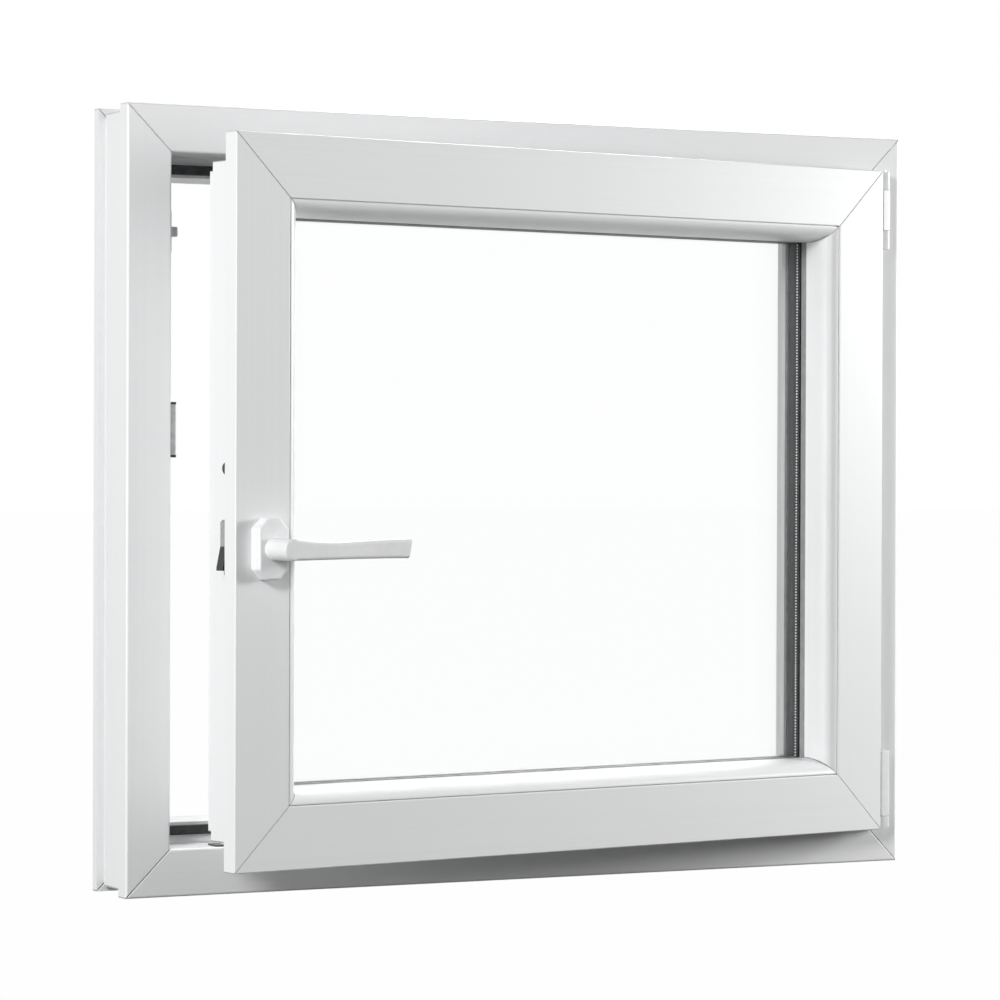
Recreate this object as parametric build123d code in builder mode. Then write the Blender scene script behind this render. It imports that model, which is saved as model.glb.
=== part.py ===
from build123d import *
import os

os.makedirs("parts", exist_ok=True)

# White tilt-and-turn basement window, hinged on the right as seen from the room, its sash ajar.
# X runs along the sill, Y from the room to the outside, Z up, in millimetres.
# The origin is under the middle of the sill, at mid depth of the room-side fixing lip.

# Outer frame
frame_width = 915.0
frame_height = 800.0
frame_depth = 92.0
face_width = 48.0            # room face of every frame member
room_lip = 20.0              # fixing lips that stand round the fitting channel
outer_lip = 12.0
channel_depth = 6.0
channel_ledge = 5.0          # half-deep ledge beside the room-side lip
anchor_groove = 3.0          # groove beside the outer lip, deeper than the channel
anchor_groove_width = 5.0
rebate_length = 66.0         # from the room face to the foot of the outer stop
stop_foot = 7.5             # how far the stop's foot stands into the rebate
stop_height = 20.5
stop_thickness = 21.0
stop_rise = 2.0              # slope of the stop's foot
stop_slope = 4.0
frame_round = 2.5

# Drainage slots on the outside of the sill
slot_length = 30.0
slot_height = 5.0
slot_depth = 9.0
slot_level = 24.0
slot_inset = 180.0

# Sash
sash_margin = 38.0           # frame's edge to sash's edge
sash_proud = 23.0            # sash's room face in front of the frame's, when shut
sash_depth = 101.0
lip_thickness = 21.0
body_inset = 24.5
nose_inset = 32.5
nose_depth = 18.0            # the sash's outer edge stands back round this depth
sash_face = 63.0             # sash's edge to the glazing bead
bead_seat_drop = 2.0
shoulder = 3.0
sash_round = 1.25
open_angle = 9.2

# Gear groove round the sash
gear_axis = 42.0             # from the sash's room face
plate_width = 16.0
plate_thickness = 2.5
plate_clearance = 0.1
gear_channel_width = 12.0
gear_channel_depth = 9.0

# Glazing
bead_width = 17.0
bead_depth = 36.0
bead_gap = 0.4
bead_joint = 1.0             # open joint between the sash's face and the bead
bead_drop = 0.8              # the bead's crown lies behind the sash's face
glass_gasket = 8.0
gasket_cover = 7.0           # how far a glazing gasket reaches over the glass
pane_thickness = 4.0
cavity = 18.0
outer_gasket = 4.0
glass_edge_gap = 4.0
spacer_height = 7.0
edge_seal_height = 4.0
flange_land = 6.0
flange_back = 12.0

# Gaskets between frame and sash
lip_gasket_inset = 3.0
lip_gasket_width = 6.0
lip_gasket_gap = 2.0         # left free beside a hinge leaf
gasket_gap = 0.2             # a strip stops this short of what it seals against
stop_gasket_height = 10.0
stop_gasket_wall = 2.5

# Handle
spindle_inset = 35.5         # from the sash's lock-side edge
spindle_height = 316.5       # above the sash's bottom edge
rose_width = 34.5
rose_height = 60.5
rose_thickness = 15.0
rose_corner = 10.0           # cut corners of the rose
rose_soft_corner = 4.0
rose_round = 2.6
neck_radius = 11.0
neck_proud = 0.1             # the neck's rounded end stands over the lever's face
neck_round = 2.5
lever_standoff = 40.0        # sash face to the back of the lever
lever_thickness = 11.0
lever_length = 137.0
lever_root = 21.4            # height of the lever at the spindle
lever_waist = 17.4           # height where it is slimmest
lever_waist_reach = 75.0
lever_tip = 19.0
lever_bow = 1.0              # the waist is cut from the lever's top
tip_flare = 2.5              # the end bends towards the hand
tip_reach = 16.0
tip_slant = 3.0
lever_round = 3.4

# Gear on the sash's edges
gear_end_gap = 48.0
cam_radius = 4.5
cam_head_radius = 6.2        # the head hooks behind the keep
cam_head_thickness = 3.5
cam_chamfer = 0.8
cam_clearance = 0.5          # between the locked cam and the keep
cam_level = 395.0            # above the sash's bottom edge
guard_level = 290.0          # lower end of the guard, above the sash's bottom edge
guard_length = 54.5
guard_height = 12.0
guard_tail = 4.5
guard_tail_height = 7.5
guard_wedge = 16.5
guard_wedge_edge = 3.0
guard_wedge_length = 24.0
guard_end_cut = 2.5
guard_width = 12.0

# Keeps on the frame's lock jamb and sill
keep_width = 24.0
keep_base = 2.5
keep_height = 10.0
keep_corner = 3.0
upper_keep_drop = 128.0      # below the frame's top edge
upper_keep_length = 44.0
upper_block_length = 10.0
middle_keep_level = 472.0
middle_keep_length = 56.0
middle_keep_height = 8.0
middle_lug_length = 2.5
strike_floor = 1.0
strike_recess = 0.5
tilt_keep_inset = 121.0      # from the frame's lock-side edge
tilt_keep_length = 40.0
tilt_keep_base = 1.5
tilt_ramp_length = 14.0
keep_chamfer = 1.5

# Corner hinges
hinge_inset = 27.0           # hinge axis from the frame's right edge
hinge_proud = 10.0           # hinge axis in front of the frame's face
cover_width = 11.0           # covers of the top hinge
cover_depth = 13.0
cover_shift = 1.5            # the covers stand forward of the hinge axis
cover_round = 4.0
cover_cut = 1.6              # slanted lower end of the lowest cover
pin_radius = 3.0
pin_clearance = 0.1
pin_head_radius = 4.0
pin_head_height = 1.5
knuckle_gap = 0.6
top_bearing_length = 85.0
knuckle_length = 20.0
web_width = 5.5              # joins a sash-side cover to its leaf
leaf_thickness = 1.6         # the leaves run in the gap behind the sash's lip
stay_tongue = 20.0
stay_length = 260.0
stay_thickness = 3.0
stay_corner = 5.0
bottom_block_low = 39.5
bottom_block_length = 11.5
band_width = 15.0            # the sash-side cover of the bottom hinge
band_corner = 3.0
band_chamfer = 1.5
bottom_gap = 2.2
band_length = 71.0
bottom_pin_length = 34.0

# Values worked out from those above
half_width = frame_width / 2
room_face = -room_lip / 2
outer_face = room_face + frame_depth
sash_left = -half_width + sash_margin
sash_right = half_width - sash_margin
sash_low = sash_margin
sash_high = frame_height - sash_margin
sash_room = room_face - sash_proud
sash_outer = sash_room + sash_depth
lip_back = sash_room + lip_thickness
bead_seat = sash_face - bead_seat_drop
clear_edge = sash_face + bead_width
bead_back = sash_room + bead_depth
inner_pane_face = bead_back + glass_gasket
cavity_face = inner_pane_face + pane_thickness
outer_pane_face = cavity_face + cavity
glass_back = outer_pane_face + pane_thickness
flange_face = glass_back + outer_gasket
glass_inset = bead_seat + glass_edge_gap
body_outer = sash_outer - nose_depth
gear_plane = sash_room + gear_axis
hinge_x = half_width - hinge_inset
hinge_y = room_face - hinge_proud
spindle_x = sash_left + spindle_inset
spindle_z = sash_low + spindle_height
body_top = sash_high - body_inset
leaf_back = lip_back + leaf_thickness
leaf_end = sash_right - body_inset
top_bearing_high = sash_high
top_bearing_low = top_bearing_high - top_bearing_length
bottom_block_high = bottom_block_low + bottom_block_length

hinge_pivot = Location((hinge_x, hinge_y, 0))
opened = hinge_pivot * Location((0, 0, 0), (0, 0, open_angle)) * hinge_pivot.inverse()


# The four members of a rectangle: local x points inwards, y to the outside, z along the member
def member_planes(left, right, low, high):
    return {
        "bottom": (Plane((right, 0, low), x_dir=(0, 0, 1), z_dir=(-1, 0, 0)), right - left),
        "right": (Plane((right, 0, high), x_dir=(-1, 0, 0), z_dir=(0, 0, -1)), high - low),
        "top": (Plane((left, 0, high), x_dir=(0, 0, -1), z_dir=(1, 0, 0)), right - left),
        "left": (Plane((left, 0, low), x_dir=(1, 0, 0), z_dir=(0, 0, 1)), high - low),
    }


# Cuts both ends of the piece in hand to a mitre, from the outer corner inwards
def mitre_ends(plane, length):
    start = plane.origin
    end = plane.origin + plane.z_dir * length
    split(bisect_by=Plane(start, z_dir=plane.z_dir - plane.x_dir), keep=Keep.TOP)
    split(bisect_by=Plane(end, z_dir=-plane.z_dir - plane.x_dir), keep=Keep.TOP)


# Draws a closed section and rounds the corners listed by their number
def draw_section(points, rounded, radius):
    with BuildLine() as outline:
        Polyline(*points, close=True)
    section = make_face(outline.edges())
    corners = [section.vertices().sort_by_distance((*points[n], 0))[0] for n in rounded]
    fillet(corners, radius)


# Draws a rectangular ring between two insets from the sash's edge
def draw_ring(outer_inset, inner_inset):
    centre_x = (sash_left + sash_right) / 2
    centre_z = (sash_low + sash_high) / 2
    with Locations((centre_x, centre_z)):
        Rectangle(sash_right - sash_left - 2 * outer_inset, sash_high - sash_low - 2 * outer_inset)
        if inner_inset:
            Rectangle(sash_right - sash_left - 2 * inner_inset, sash_high - sash_low - 2 * inner_inset,
                      mode=Mode.SUBTRACT)


# Upright plane at depth y, seen from the room: local x is X, local y is Z, normal to the outside
def upright(y):
    return Plane((0, y, 0), x_dir=(1, 0, 0), z_dir=(0, -1, 0))


frame_section = [
    (0, room_face),
    (face_width, room_face),
    (face_width, room_face + rebate_length),
    (face_width + stop_foot, room_face + rebate_length + stop_rise),
    (face_width + stop_foot, outer_face - stop_thickness),
    (face_width + stop_height, outer_face - stop_thickness),
    (face_width + stop_height + stop_slope, outer_face),
    (0, outer_face),
    (0, outer_face - outer_lip),
    (channel_depth + anchor_groove, outer_face - outer_lip),
    (channel_depth + anchor_groove, outer_face - outer_lip - anchor_groove_width),
    (channel_depth, outer_face - outer_lip - anchor_groove_width),
    (channel_depth, room_face + room_lip + channel_ledge),
    (channel_depth / 2, room_face + room_lip + channel_ledge),
    (channel_depth / 2, room_face + room_lip),
    (0, room_face + room_lip),
]

sash_section = [
    (0, sash_room),
    (sash_face, sash_room),
    (sash_face, sash_room + shoulder),
    (bead_seat, sash_room + shoulder),
    (bead_seat, flange_face),
    (clear_edge, flange_face),
    (clear_edge, flange_face + flange_land),
    (clear_edge - flange_back, sash_outer),
    (nose_inset, sash_outer),
    (nose_inset, body_outer),
    (body_inset, body_outer),
    (body_inset, gear_plane + plate_width / 2),
    (body_inset + plate_thickness, gear_plane + plate_width / 2),
    (body_inset + plate_thickness, gear_plane + gear_channel_width / 2),
    (body_inset + gear_channel_depth, gear_plane + gear_channel_width / 2),
    (body_inset + gear_channel_depth, gear_plane - gear_channel_width / 2),
    (body_inset + plate_thickness, gear_plane - gear_channel_width / 2),
    (body_inset + plate_thickness, gear_plane - plate_width / 2),
    (body_inset, gear_plane - plate_width / 2),
    (body_inset, lip_back),
    (0, lip_back),
]

frame_members = member_planes(-half_width, half_width, 0, frame_height)
sash_members = member_planes(sash_left, sash_right, sash_low, sash_high)
fixed_pieces = {}
sash_pieces = {}

# Outer frame, four welded members
frame_names = {"bottom": "frame_sill", "right": "frame_hinge_jamb",
               "top": "frame_head", "left": "frame_lock_jamb"}
for side, label in frame_names.items():
    plane, length = frame_members[side]
    with BuildPart() as frame_member:
        with BuildSketch(plane):
            draw_section(frame_section, [0, 1], frame_round)
        extrude(amount=length)
        mitre_ends(plane, length)
        if side == "bottom":
            # Two slots let rain water out of the sill
            with BuildSketch(Plane((0, outer_face, 0), x_dir=(1, 0, 0), z_dir=(0, -1, 0))):
                with Locations((slot_inset - half_width, slot_level), (half_width - slot_inset, slot_level)):
                    SlotOverall(slot_length, slot_height)
            extrude(amount=slot_depth, mode=Mode.SUBTRACT)
    fixed_pieces[label] = frame_member

# Rubber strip on the room side of the outer stop, with a foot and a bent sealing lip
stop_room = outer_face - stop_thickness
stop_ledge = face_width + stop_foot
gasket_tip = body_outer + gasket_gap
with BuildPart() as frame_gasket:
    with BuildLine(upright(0)) as round_the_frame:
        Polyline((0, 0), (-half_width, 0), (-half_width, frame_height), (half_width, frame_height),
                 (half_width, 0), close=True)
    with BuildSketch(Plane((0, 0, 0), x_dir=(0, 0, 1), z_dir=(-1, 0, 0))):
        with BuildLine():
            Polyline((stop_ledge, stop_room), (stop_ledge, stop_room - stop_gasket_wall),
                     (stop_ledge + stop_gasket_wall, gasket_tip),
                     (stop_ledge + stop_gasket_height, gasket_tip + stop_gasket_wall),
                     (stop_ledge + stop_gasket_height, stop_room), close=True)
        make_face()
    sweep(path=round_the_frame.wire(), transition=Transition.RIGHT)
fixed_pieces["frame_gasket"] = frame_gasket

# Sash, four welded members with the gear groove round their edges
sash_names = {"bottom": "sash_bottom_rail", "right": "sash_hinge_stile",
              "top": "sash_top_rail", "left": "sash_lock_stile"}
for side, label in sash_names.items():
    plane, length = sash_members[side]
    with BuildPart() as sash_member:
        with BuildSketch(plane):
            draw_section(sash_section, [0, 1, 20], sash_round)
        extrude(amount=length)
        mitre_ends(plane, length)
    sash_pieces[label] = sash_member

# Rubber strip behind the sash's lip, cut short of the hinge leaves
band_low = bottom_block_high + bottom_gap
with BuildPart() as sash_gasket:
    with BuildSketch(upright(room_face - gasket_gap)):
        draw_ring(lip_gasket_inset, lip_gasket_inset + lip_gasket_width)
    extrude(amount=room_face - gasket_gap - lip_back)
    for low, high in [(band_low, band_low + band_length), (top_bearing_low, top_bearing_high)]:
        with BuildSketch(upright(room_face)):
            with Locations((sash_right, (low + high) / 2)):
                Rectangle(2 * body_inset, high - low + 2 * lip_gasket_gap)
        extrude(amount=sash_proud, mode=Mode.SUBTRACT)
sash_pieces["sash_gasket"] = sash_gasket

# Glazing beads with a rounded room side, clipped in front of the glass
bead_foot = sash_face + bead_joint
for side in sash_members:
    plane, length = sash_members[side]
    with BuildPart() as bead:
        with BuildSketch(plane):
            with BuildLine():
                crown = EllipticalCenterArc((bead_foot, bead_back), clear_edge - bead_foot,
                                            bead_depth - bead_drop, start_angle=270, arc_size=90)
                Polyline(crown @ 1, (bead_seat + bead_gap, bead_back),
                         (bead_seat + bead_gap, sash_room + shoulder + bead_gap),
                         (bead_foot, sash_room + shoulder + bead_gap), crown @ 0)
            make_face()
        extrude(amount=length)
        mitre_ends(plane, length)
    sash_pieces[f"bead_{side}"] = bead

# Strips that hold the glass between bead and flange
with BuildPart() as bead_gasket:
    with BuildSketch(upright(inner_pane_face)):
        draw_ring(clear_edge - gasket_cover, clear_edge)
    extrude(amount=glass_gasket)
sash_pieces["bead_gasket"] = bead_gasket

with BuildPart() as flange_gasket:
    with BuildSketch(upright(flange_face)):
        draw_ring(clear_edge - gasket_cover, clear_edge)
    extrude(amount=outer_gasket)
sash_pieces["flange_gasket"] = flange_gasket

# Double glazed unit
with BuildPart() as inner_pane:
    with BuildSketch(upright(cavity_face)):
        draw_ring(glass_inset, 0)
    extrude(amount=pane_thickness)
sash_pieces["inner_pane"] = inner_pane

with BuildPart() as outer_pane:
    with BuildSketch(upright(glass_back)):
        draw_ring(glass_inset, 0)
    extrude(amount=pane_thickness)
sash_pieces["outer_pane"] = outer_pane

with BuildPart() as edge_seal:
    with BuildSketch(upright(outer_pane_face)):
        draw_ring(glass_inset, glass_inset + edge_seal_height)
    extrude(amount=cavity)
sash_pieces["glass_edge_seal"] = edge_seal

with BuildPart() as spacer:
    with BuildSketch(upright(outer_pane_face)):
        draw_ring(glass_inset + edge_seal_height, clear_edge - gasket_cover + spacer_height)
    extrude(amount=cavity)
sash_pieces["glass_spacer"] = spacer

# Handle: bevelled rose, round neck and a waisted lever that lies along the rail
with BuildPart() as handle_rose:
    with BuildSketch(upright(sash_room)):
        with Locations((spindle_x, spindle_z)):
            rose_outline = Rectangle(rose_width, rose_height)
        cut_outline = chamfer(rose_outline.vertices(), rose_corner)
        fillet(cut_outline.vertices(), rose_soft_corner)
    extrude(amount=rose_thickness)
    fillet(handle_rose.faces().sort_by(Axis.Y)[0].edges(), rose_round)
sash_pieces["handle_rose"] = handle_rose

rose_front = sash_room - rose_thickness
lever_back = sash_room - lever_standoff
lever_middle = lever_back - lever_thickness / 2
with BuildPart() as handle_lever:
    # Distance from the spindle, height, drop of the middle, and shift towards the room
    lever_sections = [
        (0, lever_root, 0, 0),
        (lever_waist_reach, lever_waist, lever_bow, 0),
        (lever_length - tip_reach, lever_tip, 0, 0),
        (lever_length, lever_tip, 0, tip_flare),
    ]
    for along, height, drop, shift in lever_sections:
        section_plane = Plane((spindle_x + along, lever_middle - shift, spindle_z - drop),
                              x_dir=(0, 1, 0), z_dir=(1, 0, 0))
        with BuildSketch(section_plane):
            RectangleRounded(lever_thickness, height, lever_round)
    loft()
    # The end is cut at a slant, longer along the top
    split(bisect_by=Plane((spindle_x + lever_length - tip_slant, 0, spindle_z - lever_tip / 2),
                          z_dir=(-lever_tip, 0, tip_slant)), keep=Keep.TOP)
    with BuildSketch(upright(rose_front)):
        with Locations((spindle_x, spindle_z)):
            Circle(neck_radius)
    extrude(amount=lever_standoff - rose_thickness + lever_thickness + neck_proud)
    neck_rims = handle_lever.edges().filter_by(GeomType.CIRCLE).sort_by(Axis.Y)
    fillet(neck_rims[0], neck_round)
sash_pieces["handle_lever"] = handle_lever

# Gear faceplates let into the sash's edges, with rounded ends
for side in ["left", "top", "bottom"]:
    plane, length = sash_members[side]
    seat = Plane(plane.origin + plane.x_dir * (body_inset + plate_thickness), x_dir=plane.z_dir,
                 z_dir=-plane.x_dir)
    with BuildPart() as faceplate:
        with BuildSketch(seat):
            with Locations((length / 2, gear_plane * seat.y_dir.Y)):
                SlotOverall(length - 2 * gear_end_gap, plate_width - 2 * plate_clearance)
        extrude(amount=plate_thickness)
    sash_pieces[f"gear_plate_{side}"] = faceplate

# Locking cam with a mushroom head on the lock side
edge_plane = Plane((sash_left + body_inset, gear_plane, sash_low), x_dir=(0, 0, 1), z_dir=(-1, 0, 0))
cam_height = sash_margin + body_inset - face_width - keep_base - strike_floor - cam_clearance
with BuildPart() as locking_cam:
    with BuildSketch(edge_plane):
        with Locations((cam_level, 0)):
            Circle(cam_radius)
    extrude(amount=cam_height)
    with BuildSketch(edge_plane.offset(cam_height - cam_head_thickness)):
        with Locations((cam_level, 0)):
            Circle(cam_head_radius)
    extrude(amount=cam_head_thickness)
    chamfer(locking_cam.faces().sort_by(Axis.X)[0].edges(), cam_chamfer)
sash_pieces["locking_cam"] = locking_cam

# Guard that blocks the handle while the sash stands open
with BuildPart() as handle_guard:
    guard_plane = Plane((sash_left + body_inset, gear_plane - guard_width / 2, sash_low + guard_level),
                        x_dir=(-1, 0, 0), z_dir=(0, 1, 0))
    with BuildSketch(guard_plane):
        with BuildLine():
            Polyline((0, 0), (guard_tail_height, 0), (guard_tail_height, guard_tail),
                     (guard_wedge, guard_tail), (guard_wedge, guard_tail + guard_wedge_edge),
                     (guard_height, guard_tail + guard_wedge_length),
                     (guard_height, guard_length - guard_end_cut),
                     (guard_height - guard_end_cut, guard_length), (0, guard_length), close=True)
        make_face()
    extrude(amount=guard_width)
sash_pieces["handle_guard"] = handle_guard

# Keeps screwed to the lock jamb, and the tilt keep on the sill
upper_keep_level = frame_height - upper_keep_drop
keep_plane = Plane((-half_width + face_width, gear_plane, 0), x_dir=(0, 0, 1), z_dir=(1, 0, 0))
with BuildPart() as upper_keep:
    with BuildSketch(keep_plane):
        with Locations((upper_keep_level, 0)):
            RectangleRounded(upper_keep_length, keep_width, keep_corner)
    extrude(amount=keep_base)
    with BuildSketch(keep_plane):
        with Locations((upper_keep_level, 0)):
            Rectangle(upper_block_length, keep_width)
    extrude(amount=keep_height)
    chamfer(upper_keep.faces().sort_by(Axis.X)[-1].edges(), keep_chamfer)
fixed_pieces["keep_upper"] = upper_keep

lug_reach = (middle_keep_length - middle_lug_length) / 2
strike_length = middle_keep_length - 2 * middle_lug_length
keep_wall = keep_width / 2 - cam_head_radius - cam_clearance
with BuildPart() as middle_keep:
    with BuildSketch(keep_plane):
        with Locations((middle_keep_level, 0)):
            Rectangle(middle_keep_length, keep_width)
    extrude(amount=keep_base)
    with BuildSketch(keep_plane):
        with Locations((middle_keep_level - lug_reach, 0), (middle_keep_level + lug_reach, 0)):
            Rectangle(middle_lug_length, keep_width)
    extrude(amount=middle_keep_height)
fixed_pieces["keep_middle"] = middle_keep

# Steel strike in the middle keep: the locked cam lies on the outside of its wall
with BuildPart() as strike:
    with BuildSketch(keep_plane.offset(keep_base)):
        with Locations((middle_keep_level, 0)):
            Rectangle(strike_length, keep_width)
    extrude(amount=strike_floor)
    with BuildSketch(keep_plane.offset(keep_base)):
        with Locations((middle_keep_level, keep_width / 2)):
            Rectangle(strike_length, keep_wall, align=(Align.CENTER, Align.MAX))
    extrude(amount=middle_keep_height - keep_base - strike_recess)
fixed_pieces["keep_strike"] = strike

sill_plane = Plane((tilt_keep_inset - half_width, gear_plane, face_width), x_dir=(1, 0, 0), z_dir=(0, 0, 1))
with BuildPart() as tilt_keep:
    with BuildSketch(sill_plane):
        RectangleRounded(tilt_keep_length, keep_width, keep_corner)
    extrude(amount=tilt_keep_base)
    with BuildSketch(sill_plane):
        with Locations(((tilt_keep_length - tilt_ramp_length) / 2, 0)):
            RectangleRounded(tilt_ramp_length, keep_width, keep_corner)
    extrude(amount=keep_height)
    chamfer(tilt_keep.faces().sort_by(Axis.Z)[-1].edges(), keep_chamfer)
fixed_pieces["keep_tilt"] = tilt_keep


# Section of a top hinge cover, rounded on its right towards the room
def draw_cover():
    with Locations((hinge_x, hinge_y - cover_shift)):
        cover = Rectangle(cover_width, cover_depth)
    right_corner = (hinge_x + cover_width / 2, hinge_y - cover_shift - cover_depth / 2, 0)
    fillet(cover.vertices().sort_by_distance(right_corner)[0], cover_round)


# Foot between a hinge piece and the frame's face
def draw_foot(width):
    with Locations((hinge_x, (hinge_y + room_face) / 2)):
        Rectangle(width, hinge_proud)


# Web and leaf that carry a sash-side hinge piece, the leaf running behind the sash's lip
def draw_leaf(width):
    with Locations((hinge_x - (width - web_width) / 2, (hinge_y + leaf_back) / 2)):
        Rectangle(web_width, leaf_back - hinge_y)
    with Locations(((hinge_x + leaf_end) / 2, (lip_back + leaf_back) / 2)):
        Rectangle(hinge_x - leaf_end, leaf_thickness)


# Hole for the hinge pin, or the pin itself
def draw_pin(radius, mode):
    with Locations((hinge_x, hinge_y)):
        Circle(radius, mode=mode)


# Top hinge: two knuckles on the frame, the stay's knuckle between them, and a headed pin
with BuildPart() as top_bearing:
    for level in [top_bearing_low, top_bearing_high - knuckle_length]:
        with BuildSketch(Plane.XY.offset(level)):
            draw_cover()
            draw_foot(cover_width)
            draw_pin(pin_radius + pin_clearance, Mode.SUBTRACT)
        extrude(amount=knuckle_length)
    lowest_edges = top_bearing.faces().sort_by(Axis.Z)[0].edges()
    chamfer(lowest_edges.filter_by(Axis.Y).sort_by(Axis.X)[0], cover_cut)
fixed_pieces["top_hinge_bearing"] = top_bearing

stay_low = top_bearing_low + knuckle_length + knuckle_gap
stay_high = top_bearing_high - knuckle_length - knuckle_gap
with BuildPart() as stay_knuckle:
    with BuildSketch(Plane.XY.offset(stay_low)):
        draw_cover()
        draw_leaf(cover_width)
        draw_pin(pin_radius + pin_clearance, Mode.SUBTRACT)
    extrude(amount=stay_high - stay_low)
    with BuildSketch(Plane.XY.offset(body_top)):
        with Locations((leaf_end - stay_tongue / 2, (lip_back + leaf_back) / 2)):
            Rectangle(stay_tongue, leaf_thickness)
    extrude(amount=stay_high - body_top)
sash_pieces["stay_knuckle"] = stay_knuckle

with BuildPart() as stay_arm:
    with BuildSketch(Plane.XY.offset(body_top)):
        with BuildLine():
            Polyline((leaf_end - stay_tongue, leaf_back), (leaf_end, leaf_back),
                     (leaf_end, gear_plane + plate_width / 2),
                     (leaf_end - stay_length, gear_plane + plate_width / 2),
                     (leaf_end - stay_length, gear_plane - plate_width / 2),
                     (leaf_end - stay_tongue, gear_plane - plate_width / 2), close=True)
        arm_outline = make_face()
        fillet(arm_outline.vertices().group_by(Axis.X)[0], stay_corner)
    extrude(amount=stay_thickness)
sash_pieces["stay_arm"] = stay_arm

with BuildPart() as top_pin:
    with BuildSketch(Plane.XY.offset(top_bearing_low)):
        draw_pin(pin_radius, Mode.ADD)
    extrude(amount=top_bearing_high - top_bearing_low)
    with BuildSketch(Plane.XY.offset(top_bearing_high)):
        draw_pin(pin_head_radius, Mode.ADD)
    extrude(amount=pin_head_height)
fixed_pieces["top_hinge_pin"] = top_pin

# Bottom hinge: block with its pin on the frame, and the band on the sash that turns on it
with BuildPart() as bottom_bearing:
    with BuildSketch(Plane.XY.offset(bottom_block_low)):
        with Locations((hinge_x, hinge_y)):
            RectangleRounded(band_width, band_width, band_corner)
        draw_foot(band_width)
    extrude(amount=bottom_block_length)
    with BuildSketch(Plane.XY.offset(bottom_block_high)):
        draw_pin(pin_radius, Mode.ADD)
    extrude(amount=bottom_pin_length)
fixed_pieces["bottom_hinge_bearing"] = bottom_bearing

with BuildPart() as bottom_band:
    with BuildSketch(Plane.XY.offset(band_low)):
        with Locations((hinge_x, hinge_y)):
            RectangleRounded(band_width, band_width, band_corner)
    extrude(amount=band_length)
    chamfer(bottom_band.faces().sort_by(Axis.Z)[-1].edges(), band_chamfer)
    with BuildSketch(Plane.XY.offset(band_low)):
        draw_leaf(band_width)
    extrude(amount=band_length - 2 * band_chamfer)
    with BuildSketch(Plane.XY.offset(band_low)):
        draw_pin(pin_radius + pin_clearance, Mode.ADD)
    extrude(amount=band_length, mode=Mode.SUBTRACT)
sash_pieces["bottom_hinge_band"] = bottom_band

# Fixed pieces stay where they are drawn; the sash and all it carries turn about the hinge axis
for label, piece in fixed_pieces.items():
    piece.part.label = label
    export_step(piece.part, f"parts/{label}.step")

for label, piece in sash_pieces.items():
    turned = piece.part.moved(opened)
    turned.label = label
    export_step(turned, f"parts/{label}.step")
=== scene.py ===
import math

import bmesh
import bpy
from mathutils import Matrix, Vector


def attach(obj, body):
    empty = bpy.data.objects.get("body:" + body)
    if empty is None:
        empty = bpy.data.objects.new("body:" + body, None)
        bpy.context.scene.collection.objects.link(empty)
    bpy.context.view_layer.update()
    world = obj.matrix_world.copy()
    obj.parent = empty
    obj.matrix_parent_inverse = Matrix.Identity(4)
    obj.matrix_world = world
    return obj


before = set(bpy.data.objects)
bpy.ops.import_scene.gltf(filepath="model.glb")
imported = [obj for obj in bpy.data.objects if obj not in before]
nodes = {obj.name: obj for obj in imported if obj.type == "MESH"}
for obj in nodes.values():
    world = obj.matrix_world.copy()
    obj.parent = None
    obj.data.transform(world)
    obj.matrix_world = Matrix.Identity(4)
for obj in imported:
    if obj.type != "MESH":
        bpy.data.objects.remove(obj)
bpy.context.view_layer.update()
print("frame loaded,", len(nodes), "nodes")

# Sizes that several pieces share, in metres, as in the CAD
win = {
    "width": 0.915,
    "height": 0.8,
    "faceWidth": 0.048,
    "sashMargin": 0.038,
    "bodyInset": 0.0245,
    "gearPlane": 0.009,
    "hingeX": 0.4305,
    "hingeY": -0.020,
    "openAngle": 9.2,
}
halfWidth = win["width"] / 2
sashLeft = -halfWidth + win["sashMargin"]
sashLow = win["sashMargin"]
sashHigh = win["height"] - win["sashMargin"]
hingeAxis = Vector((win["hingeX"], win["hingeY"], 0))
openTurn = Matrix.Rotation(math.radians(win["openAngle"]), 4, "Z")
swing = Matrix.Translation(hingeAxis) @ openTurn @ Matrix.Translation(-hingeAxis)


# Node trees: a material, its shader, and short ways to add nodes and links
def startMaterial(name, roughness, specular=0.5):
    mat = bpy.data.materials.new(name)
    mat.use_nodes = True
    shader = mat.node_tree.nodes["Principled BSDF"]
    shader.inputs["Roughness"].default_value = roughness
    shader.inputs["Specular IOR Level"].default_value = specular
    return mat, shader


def addNode(mat, kind, values=None, **settings):
    node = mat.node_tree.nodes.new("ShaderNode" + kind)
    for key, value in settings.items():
        setattr(node, key, value)
    for key, value in (values or {}).items():
        node.inputs[key].default_value = value
    return node


def link(mat, source, target):
    mat.node_tree.links.new(source, target)


def maths(mat, operation, a, b=0.0, clamp=False):
    node = addNode(mat, "Math", operation=operation, use_clamp=clamp)
    for socket, value in zip(node.inputs, (a, b)):
        if isinstance(value, (int, float)):
            socket.default_value = value
        else:
            link(mat, value, socket)
    return node.outputs[0]


def ramp(mat, value, low, high, lowColour, highColour):
    node = addNode(mat, "ValToRGB")
    node.color_ramp.elements[0].position = low
    node.color_ramp.elements[1].position = high
    node.color_ramp.elements[0].color = (*lowColour, 1)
    node.color_ramp.elements[1].color = (*highColour, 1)
    link(mat, value, node.inputs["Fac"])
    return node.outputs["Color"]


def mixColour(mat, factor, a, b):
    node = addNode(mat, "Mix", data_type="RGBA")
    link(mat, factor, node.inputs["Factor"])
    for socket, value in ((node.inputs["A"], a), (node.inputs["B"], b)):
        if isinstance(value, tuple):
            socket.default_value = (*value, 1)
        else:
            link(mat, value, socket)
    return node.outputs["Result"]


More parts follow.
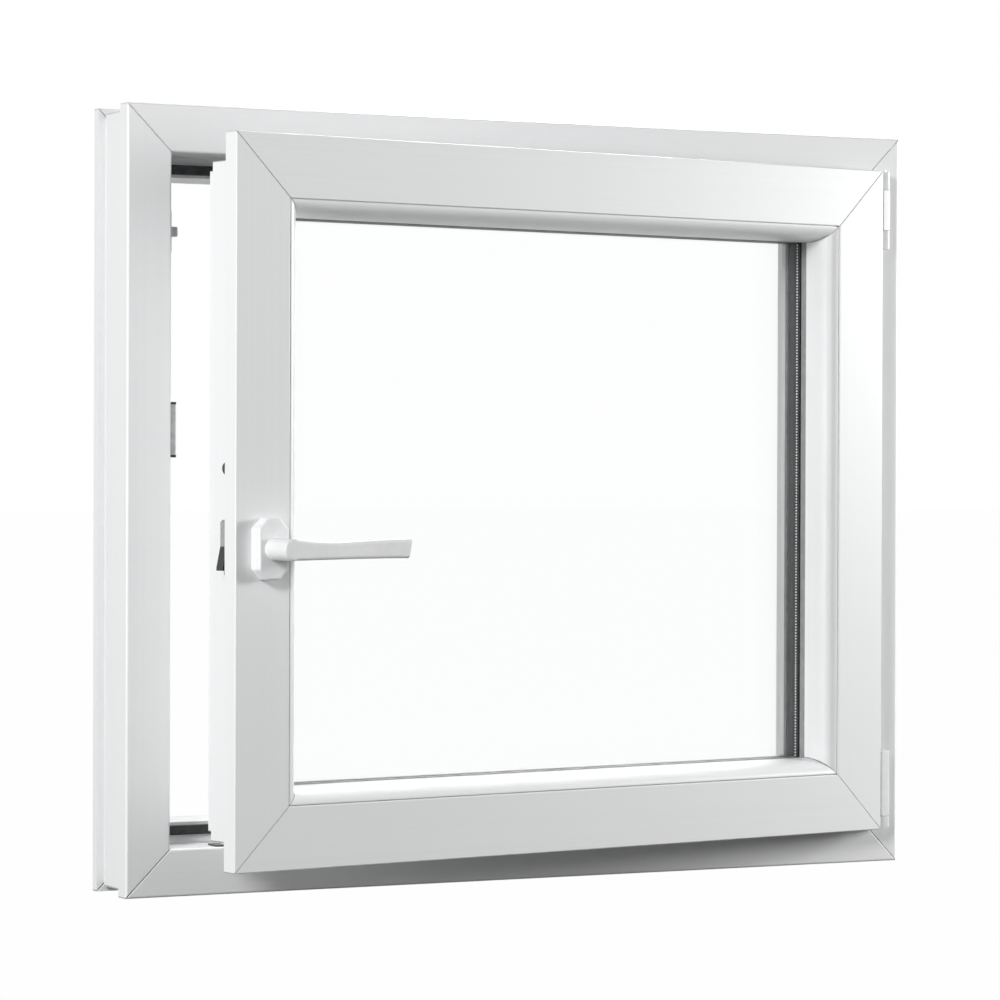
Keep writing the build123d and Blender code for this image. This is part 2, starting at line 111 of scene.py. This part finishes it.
# Object coordinates, turned back for the pieces that swing with the sash
def ownPlace(mat, onSash):
    place = addNode(mat, "TexCoord").outputs["Object"]
    if not onSash:
        return place
    back = swing.inverted()
    turned = addNode(mat, "Mapping")
    turned.inputs["Location"].default_value = back.translation
    turned.inputs["Rotation"].default_value = back.to_euler()
    link(mat, place, turned.inputs["Vector"])
    return turned.outputs["Vector"]


def noise(mat, place, scale, detail=2.0, stretch=None, roughness=0.5):
    node = addNode(mat, "TexNoise", {"Scale": scale, "Detail": detail, "Roughness": roughness})
    if stretch:
        mapping = addNode(mat, "Mapping", {"Scale": stretch})
        link(mat, place, mapping.inputs["Vector"])
        place = mapping.outputs["Vector"]
    link(mat, place, node.inputs["Vector"])
    return node.outputs["Fac"]


def addBump(mat, shader, height, strength, distance):
    node = addNode(mat, "Bump", {"Strength": strength, "Distance": distance})
    link(mat, height, node.inputs["Height"])
    link(mat, node.outputs["Normal"], shader.inputs["Normal"])


profileLook = {
    "white": (0.86, 0.865, 0.87),
    "streak": (0.845, 0.85, 0.855),
    "streakRelief": 0.006,
    # the weld line's dark colour is painted shade at the bottom of the groove
    "seamPaintedShade": (0.62, 0.625, 0.63),
    "frameSeam": 0.0013,
    "sashSeam": 0.0009,
    "paintedShadeCore": 0.25,               # share of the weld line's half width that is dark with painted shade
    "groove": 0.0011,
    "roughness": 0.34,
    "lengthways": 1.2,              # streak noise along the member and across it
    "sideways": 420,
    "streakRange": (0.35, 0.65),
}


# Extruded white plastic: faint die streaks along the member and a cleaned weld line in each corner, a
# groove in the relief whose dark middle is painted shade
def profileMaterial(name, along, onSash):
    look = profileLook
    mat, shader = startMaterial(name, look["roughness"])
    place = ownPlace(mat, onSash)
    fine, long = look["sideways"], look["lengthways"]
    stretch = (long, fine, fine) if along == "x" else (fine, fine, long)
    streaks = noise(mat, place, 1.0, 3.0, stretch)
    body = ramp(mat, streaks, *look["streakRange"], look["streak"], look["white"])
    axes = addNode(mat, "SeparateXYZ")
    link(mat, place, axes.inputs[0])
    across = maths(mat, "ABSOLUTE", axes.outputs["X"])
    upright = maths(mat, "ABSOLUTE", maths(mat, "SUBTRACT", axes.outputs["Z"], win["height"] / 2))
    corner = halfWidth - win["height"] / 2
    offMitre = maths(mat, "SUBTRACT", maths(mat, "SUBTRACT", across, upright), corner)
    seamWidth = look["sashSeam"] if onSash else look["frameSeam"]
    nearness = maths(mat, "DIVIDE", maths(mat, "ABSOLUTE", offMitre), seamWidth)
    line = maths(mat, "SUBTRACT", 1.0, nearness, clamp=True)
    # the middle of the weld line gets painted shade, where the groove's bottom would lie in shade
    paintedShade = maths(mat, "GREATER_THAN", line, 1 - look["paintedShadeCore"])
    link(mat, mixColour(mat, paintedShade, body, look["seamPaintedShade"]), shader.inputs["Base Color"])
    height = maths(mat, "SUBTRACT", maths(mat, "MULTIPLY", streaks, look["streakRelief"]), line)
    addBump(mat, shader, height, 1.0, look["groove"])
    return mat


rubberLook = {
    "black": ((0.018, 0.018, 0.02), (0.05, 0.05, 0.052)),
    "grey": ((0.26, 0.262, 0.265), (0.34, 0.342, 0.345)),
    "roughness": 0.62,
    "specular": 0.35,
    "cloud": 90,
    "cloudRange": (0.35, 0.75),
    "grain": 1800,
    "relief": 0.00015,
    "reliefStrength": 0.25,
}


# Matt rubber in one of two shades, with a slight cloud and a fine grain
def rubberMaterial(name, shade):
    look = rubberLook
    mat, shader = startMaterial(name, look["roughness"], look["specular"])
    place = ownPlace(mat, False)
    cloud = noise(mat, place, look["cloud"], 4.0)
    link(mat, ramp(mat, cloud, *look["cloudRange"], *look[shade]), shader.inputs["Base Color"])
    addBump(mat, shader, noise(mat, place, look["grain"], 2.0), look["reliefStrength"], look["relief"])
    return mat


glassLook = {
    "tint": (0.99, 0.996, 0.993),
    "shade": (0.6, 0.61, 0.605),
    "ior": 1.36,                    # weak reflections, so that the spacer stays dark behind the panes
    "smear": 0.005,
    "smearScale": 6,
}


# Clear float glass that lets the lamps through
def glassMaterial():
    look = glassLook
    mat, shader = startMaterial("float glass", 0.0)
    shader.inputs["Base Color"].default_value = (*look["tint"], 1)
    shader.inputs["Transmission Weight"].default_value = 1.0
    shader.inputs["IOR"].default_value = look["ior"]
    smear = noise(mat, ownPlace(mat, True), look["smearScale"], 3.0)
    link(mat, maths(mat, "MULTIPLY", smear, look["smear"]), shader.inputs["Roughness"])
    clear = addNode(mat, "BsdfTransparent", {"Color": (*look["shade"], 1)})
    either = addNode(mat, "MixShader")
    link(mat, addNode(mat, "LightPath").outputs["Is Shadow Ray"], either.inputs[0])
    link(mat, shader.outputs[0], either.inputs[1])
    link(mat, clear.outputs[0], either.inputs[2])
    link(mat, either.outputs[0], mat.node_tree.nodes["Material Output"].inputs["Surface"])
    return mat


mottle = {
    "grain": 900,
    "cloud": 150,
    "cloudRange": (0.3, 0.7),
    "glossier": 0.06,
    "duller": 0.08,
    "relief": 0.00005,
    "reliefStrength": 0.3,
}


# Metal, plastic and paint with a fine mottle in colour, gloss and relief
def mottledMaterial(name, dark, light, roughness, metallic=0.0, onSash=True):
    look = mottle
    mat, shader = startMaterial(name, roughness)
    shader.inputs["Metallic"].default_value = metallic
    place = ownPlace(mat, onSash)
    cloud = noise(mat, place, look["cloud"], 4.0)
    link(mat, ramp(mat, cloud, *look["cloudRange"], dark, light), shader.inputs["Base Color"])
    shine = addNode(mat, "MapRange", {"To Min": roughness - look["glossier"],
                                      "To Max": roughness + look["duller"]})
    link(mat, cloud, shine.inputs["Value"])
    link(mat, shine.outputs["Result"], shader.inputs["Roughness"])
    addBump(mat, shader, noise(mat, place, look["grain"], 2.0), look["reliefStrength"], look["relief"])
    return mat


guardLook = {
    "black": (0.012, 0.012, 0.014),
    "zinc": (0.42, 0.42, 0.43),
    "worn": 0.8,                    # how dark the zinc's cloudy patches are
    "wornRange": (0.3, 0.8),
    "cloud": 240,
    "border": 0.3565,
    "soft": 0.0006,
    "roughness": 0.42,
    "metallic": 0.6,
}


# The handle guard: a black blocking wedge below, a plated spring bar above
def guardMaterial():
    look = guardLook
    mat, shader = startMaterial("handle guard", look["roughness"])
    place = ownPlace(mat, True)
    axes = addNode(mat, "SeparateXYZ")
    link(mat, place, axes.inputs[0])
    upper = addNode(mat, "MapRange", {"From Min": look["border"] - look["soft"],
                                      "From Max": look["border"]})
    link(mat, axes.outputs["Z"], upper.inputs["Value"])
    cloud = noise(mat, place, look["cloud"], 3.0)
    dull = tuple(look["worn"] * part for part in look["zinc"])
    zinc = ramp(mat, cloud, *look["wornRange"], dull, look["zinc"])
    isZinc = upper.outputs["Result"]
    link(mat, mixColour(mat, isZinc, look["black"], zinc), shader.inputs["Base Color"])
    link(mat, maths(mat, "MULTIPLY", isZinc, look["metallic"]), shader.inputs["Metallic"])
    grain = noise(mat, place, mottle["grain"], 2.0)
    addBump(mat, shader, grain, mottle["reliefStrength"], mottle["relief"])
    return mat


rubber = rubberMaterial("stop and lip rubber", "black")
greyRubber = rubberMaterial("glazing rubber", "grey")
glass = glassMaterial()
spacerDark = mottledMaterial("warm edge spacer", (0.012, 0.012, 0.013), (0.022, 0.022, 0.024), 0.6)
holeLight = mottledMaterial("spacer perforation", (0.8, 0.8, 0.81), (0.88, 0.88, 0.89), 0.5)
handleWhite = mottledMaterial("powder coated handle", (0.83, 0.835, 0.84), (0.87, 0.875, 0.88), 0.3)
steel = mottledMaterial("zinc plated steel", (0.5, 0.5, 0.51), (0.68, 0.68, 0.69), 0.36, 1.0)
darkSteel = mottledMaterial("dark plated steel", (0.05, 0.05, 0.055), (0.1, 0.1, 0.11), 0.4, 0.8)
keepBlack = mottledMaterial("black keep plastic", (0.03, 0.03, 0.032), (0.05, 0.05, 0.052), 0.45,
                            onSash=False)
hingeWhite = mottledMaterial("hinge cover plastic", (0.76, 0.765, 0.77), (0.8, 0.805, 0.81), 0.38)

finishes = {
    "frame_sill": profileMaterial("frame plastic along x", "x", False),
    "frame_lock_jamb": profileMaterial("frame plastic upright", "z", False),
    "sash_top_rail": profileMaterial("sash plastic along x", "x", True),
    "sash_lock_stile": profileMaterial("sash plastic upright", "z", True),
}
finishes["frame_head"] = finishes["frame_sill"]
finishes["frame_hinge_jamb"] = finishes["frame_lock_jamb"]
for railNode in ("sash_bottom_rail", "bead_top", "bead_bottom"):
    finishes[railNode] = finishes["sash_top_rail"]
for stileNode in ("sash_hinge_stile", "bead_left", "bead_right"):
    finishes[stileNode] = finishes["sash_lock_stile"]
finishes.update(dict.fromkeys(("frame_gasket", "sash_gasket", "glass_edge_seal"), rubber))
finishes.update(dict.fromkeys(("bead_gasket", "flange_gasket"), greyRubber))
finishes.update(dict.fromkeys(("inner_pane", "outer_pane"), glass))
finishes.update(dict.fromkeys(("handle_rose", "handle_lever"), handleWhite))
finishes.update(dict.fromkeys(
    ("gear_plate_left", "gear_plate_top", "gear_plate_bottom", "keep_upper", "keep_strike", "stay_arm",
     "top_hinge_pin"), steel))
finishes["locking_cam"] = darkSteel
finishes["handle_guard"] = guardMaterial()
finishes.update(dict.fromkeys(("keep_middle", "keep_tilt"), keepBlack))
finishes.update(dict.fromkeys(
    ("top_hinge_bearing", "stay_knuckle", "bottom_hinge_bearing", "bottom_hinge_band"), hingeWhite))
finishes["glass_spacer"] = spacerDark
for nodeName, nodeObject in nodes.items():
    nodeObject.data.materials.clear()
    nodeObject.data.materials.append(finishes[nodeName])
print("materials on", len(finishes), "nodes")


# A finished piece: mesh from the bmesh, one material, riding on the window
def finishPiece(name, mesh, mat, onSash, smoothAngle=35):
    if onSash:
        bmesh.ops.transform(mesh, matrix=swing, verts=mesh.verts)
    data = bpy.data.meshes.new(name)
    for face in mesh.faces:
        face.smooth = True
    mesh.to_mesh(data)
    mesh.free()
    data.set_sharp_from_angle(angle=math.radians(smoothAngle))
    data.materials.append(mat)
    piece = bpy.data.objects.new(name, data)
    bpy.context.scene.collection.objects.link(piece)
    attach(piece, "root")
    return piece


# Adds a copy of one mesh to another, placed by a matrix
def addCopy(target, source, matrix):
    copy = source.copy()
    bmesh.ops.transform(copy, matrix=matrix, verts=copy.verts)
    data = bpy.data.meshes.new("scratch")
    copy.to_mesh(data)
    copy.free()
    target.from_mesh(data)
    bpy.data.meshes.remove(data)


screwLook = {
    "head": 0.0034,
    "crown": 0.0029,
    "rise": 0.0009,
    "recess": 0.0019,
    "waist": 0.42,                  # how far the recess draws in between the cross's arms
    "taper": 0.7,
    "deep": 0.0008,
    "spin": 0.7,                    # each screw stopped at another angle, in radians
    "segments": 24,
}


# A raised screw head with a cross recess, its face along +Z
def screwHead():
    look = screwLook
    head = bmesh.new()
    bmesh.ops.create_cone(head, cap_ends=True, segments=look["segments"], radius1=look["head"],
                          radius2=look["crown"], depth=look["rise"])
    bmesh.ops.translate(head, vec=(0, 0, look["rise"] / 2), verts=head.verts[:])
    crown = max(head.faces, key=lambda f: f.calc_center_median().z)
    bmesh.ops.inset_region(head, faces=[crown], thickness=look["crown"] - look["recess"])
    armStep = look["segments"] // 4
    between = [v for index, v in enumerate(crown.verts) if index % armStep > 1]
    bmesh.ops.scale(head, vec=(look["waist"], look["waist"], 1), verts=between)
    bottom = bmesh.ops.extrude_discrete_faces(head, faces=[crown])["faces"][0]
    bmesh.ops.translate(head, vec=(0, 0, -look["deep"]), verts=bottom.verts[:])
    bmesh.ops.scale(head, vec=(look["taper"], look["taper"], 1), verts=bottom.verts[:])
    bmesh.ops.recalc_face_normals(head, faces=head.faces[:])
    return head


# Screws on one plate, given by their places and the way their heads face
def addScrews(name, places, facing, onSash):
    mesh = bmesh.new()
    head = screwHead()
    turn = Vector(facing).to_track_quat("Z", "Y").to_matrix().to_4x4()
    for index, place in enumerate(places):
        spin = Matrix.Rotation(screwLook["spin"] * index, 4, "Z")
        addCopy(mesh, head, Matrix.Translation(place) @ turn @ spin)
    head.free()
    finishPiece(name, mesh, steel, onSash)


# Where the screws sit: heights on the stiles and jamb, offsets from the middle on the rails
screwPlaces = {
    "seat": 0.0003,                 # how far the heads are let into the face they sit on
    "leftHeights": (0.105, 0.185, 0.265, 0.475, 0.57, 0.66),
    "railOffsets": (-0.34, -0.22, -0.09, 0.05),
    "bottomOffsets": (-0.34, -0.2, -0.05, 0.1, 0.24, 0.34),
    "stayOffsets": (0.15, 0.26, 0.37),
    "stayThickness": 0.003,
    "keepBase": 0.0025,
    "strikeFloor": 0.0035,
    "tiltBase": 0.0015,
    "upperKeep": 0.672,
    "upperSpread": 0.0135,
    "middleKeep": 0.472,
    "middleSpread": 0.017,
    "tiltScrew": -0.3435,
    "middleShift": 0.003,           # the strike's screws stand behind the cam's path
}
bodyLeft = sashLeft + win["bodyInset"]
bodyLow = sashLow + win["bodyInset"]
bodyHigh = sashHigh - win["bodyInset"]
keepFace = -halfWidth + win["faceWidth"]
sunk = screwPlaces["seat"]
addScrews("left_gear_screws",
          [(bodyLeft + sunk, win["gearPlane"], z) for z in screwPlaces["leftHeights"]],
          (-1, 0, 0), True)
addScrews("top_gear_screws",
          [(x, win["gearPlane"], bodyHigh - sunk) for x in screwPlaces["railOffsets"]],
          (0, 0, 1), True)
addScrews("bottom_gear_screws",
          [(x, win["gearPlane"], bodyLow + sunk) for x in screwPlaces["bottomOffsets"]],
          (0, 0, -1), True)
addScrews("stay_screws",
          [(x, win["gearPlane"], bodyHigh + screwPlaces["stayThickness"] - sunk)
           for x in screwPlaces["stayOffsets"]],
          (0, 0, 1), True)
addScrews("upper_keep_screws",
          [(keepFace + screwPlaces["keepBase"] - sunk, win["gearPlane"],
            screwPlaces["upperKeep"] + side * screwPlaces["upperSpread"]) for side in (-1, 1)],
          (1, 0, 0), False)
addScrews("middle_keep_screws",
          [(keepFace + screwPlaces["strikeFloor"] - sunk, win["gearPlane"] + screwPlaces["middleShift"],
            screwPlaces["middleKeep"] + side * screwPlaces["middleSpread"]) for side in (-1, 1)],
          (1, 0, 0), False)
addScrews("tilt_keep_screw",
          [(screwPlaces["tiltScrew"], win["gearPlane"],
            win["faceWidth"] + screwPlaces["tiltBase"] - sunk)],
          (0, 0, 1), False)
print("screws done")

spacerHoles = {
    "edgeX": 0.3395,                # inner edge of the spacer from the window's middle
    "edgeLow": 0.118,
    "edgeHigh": 0.682,
    "depth": 0.0195,                # the row's place between the panes
    "pitch": 0.0032,
    "radius": 0.0008,
    "stretch": 1.5,                 # each spot is a slot that lies across the spacer
    "rise": 0.00015,                # each spot stands this proud, and as deep in the spacer
    "segments": 8,
}


# Row of perforations round the spacer's inner edge
def spacerPerforation():
    look = spacerHoles
    disc = bmesh.new()
    bmesh.ops.create_cone(disc, cap_ends=True, segments=look["segments"], radius1=look["radius"],
                          radius2=look["radius"], depth=2 * look["rise"])
    bmesh.ops.scale(disc, vec=(1, look["stretch"], 1), verts=disc.verts[:])
    mesh = bmesh.new()
    upCount = int((look["edgeHigh"] - look["edgeLow"]) / look["pitch"])
    acrossCount = int(2 * look["edgeX"] / look["pitch"])
    turn = Matrix.Rotation(math.radians(90), 4, "Y")
    for side in (-1, 1):
        for step in range(upCount):
            z = look["edgeLow"] + (step + 0.5) * look["pitch"]
            addCopy(mesh, disc, Matrix.Translation((side * look["edgeX"], look["depth"], z)) @ turn)
    for z in (look["edgeLow"], look["edgeHigh"]):
        for step in range(acrossCount):
            x = -look["edgeX"] + (step + 0.5) * look["pitch"]
            addCopy(mesh, disc, Matrix.Translation((x, look["depth"], z)))
    disc.free()
    finishPiece("spacer_perforation", mesh, holeLight, True)


spacerPerforation()
print("pieces done")

# Lamps: the key from the left, one low for the edges that face left, one low from the right,
# and one high outside for the outer face
lamps = {
    "keyLamp": {"place": (-3.0, -2.6, 2.0), "size": 1.2, "power": 98},
    "edgeLamp": {"place": (-3.4, -0.8, 0.45), "size": 1.0, "power": 50},
    "sideLamp": {"place": (3.0, -1.2, 0.85), "size": 1.0, "power": 90},
    "outsideLamp": {"place": (1.7, 2.5, 2.7), "size": 1.2, "power": 98},
}
studio = {
    "aim": (0, -0.05, 0.4),
    "skyColour": (1, 1, 1),
    "skyLight": 0.0,                # the sky looks white and gives no light of its own
    "skyWhite": 1.0,
    "floorColour": (0.1, 0.1, 0.1),
    "floorRoughness": 0.9,
    "floorWhite": 0.99,
    "floorSize": 30,
    "floorDrop": 0.0005,
}


def addLamp(name, place, size, power):
    lamp = bpy.data.lights.new(name, "AREA")
    lamp.shape = "DISK"
    lamp.size = size
    lamp.energy = power
    holder = bpy.data.objects.new(name, lamp)
    holder.location = place
    aim = Vector(studio["aim"]) - Vector(place)
    holder.rotation_euler = aim.to_track_quat("-Z", "Y").to_euler()
    bpy.context.scene.collection.objects.link(holder)


for lampName, lampValues in lamps.items():
    addLamp(lampName, **lampValues)

world = bpy.data.worlds.new("studio")
bpy.context.scene.world = world
world.use_nodes = True
worldTree = world.node_tree
sky = worldTree.nodes["Background"]
sky.inputs["Color"].default_value = (*studio["skyColour"], 1)


# How much of a surface is plain white, seen by the camera or through glass and gloss
def seenWhite(tree, share, rest):
    rays = tree.nodes.new("ShaderNodeLightPath")
    seen = rays.outputs["Is Camera Ray"]
    for ray in ("Is Glossy Ray", "Is Transmission Ray"):
        most = tree.nodes.new("ShaderNodeMath")
        most.operation = "MAXIMUM"
        tree.links.new(seen, most.inputs[0])
        tree.links.new(rays.outputs[ray], most.inputs[1])
        seen = most.outputs[0]
    scale = tree.nodes.new("ShaderNodeMapRange")
    scale.inputs["To Min"].default_value = rest
    scale.inputs["To Max"].default_value = share
    tree.links.new(seen, scale.inputs["Value"])
    return scale.outputs["Result"]


skyStrength = seenWhite(worldTree, studio["skyWhite"], studio["skyLight"])
worldTree.links.new(skyStrength, sky.inputs["Strength"])

floorMesh = bmesh.new()
bmesh.ops.create_grid(floorMesh, x_segments=1, y_segments=1, size=studio["floorSize"])
bmesh.ops.translate(floorMesh, vec=(0, 0, -studio["floorDrop"]), verts=floorMesh.verts)
floorData = bpy.data.meshes.new("floor")
floorMesh.to_mesh(floorData)
floorMesh.free()
floorMat, floorShader = startMaterial("studio floor", studio["floorRoughness"], 0.0)
floorShader.inputs["Base Color"].default_value = (*studio["floorColour"], 1)
whiteFloor = addNode(floorMat, "Emission", {"Strength": 1.0})
floorMix = addNode(floorMat, "MixShader")
link(floorMat, seenWhite(floorMat.node_tree, studio["floorWhite"], 0.0), floorMix.inputs[0])
link(floorMat, floorShader.outputs[0], floorMix.inputs[1])
link(floorMat, whiteFloor.outputs[0], floorMix.inputs[2])
link(floorMat, floorMix.outputs[0], floorMat.node_tree.nodes["Material Output"].inputs["Surface"])
floorData.materials.append(floorMat)
floor = bpy.data.objects.new("floor", floorData)
bpy.context.scene.collection.objects.link(floor)
print("floor and lamps done")

# Camera at the photograph's place
view = {
    "place": (-1.89831, -3.66722, 0.43754),
    "turn": (89.484, -0.196, -26.9682),
    "lens": 140.418,
    "sensor": 36,
}
cameraData = bpy.data.cameras.new("camera")
cameraData.lens = view["lens"]
cameraData.sensor_width = view["sensor"]
camera = bpy.data.objects.new("camera", cameraData)
camera.location = view["place"]
camera.rotation_euler = [math.radians(angle) for angle in view["turn"]]
bpy.context.scene.collection.objects.link(camera)
bpy.context.scene.camera = camera
bpy.context.scene.view_settings.view_transform = "Standard"
print("camera done")
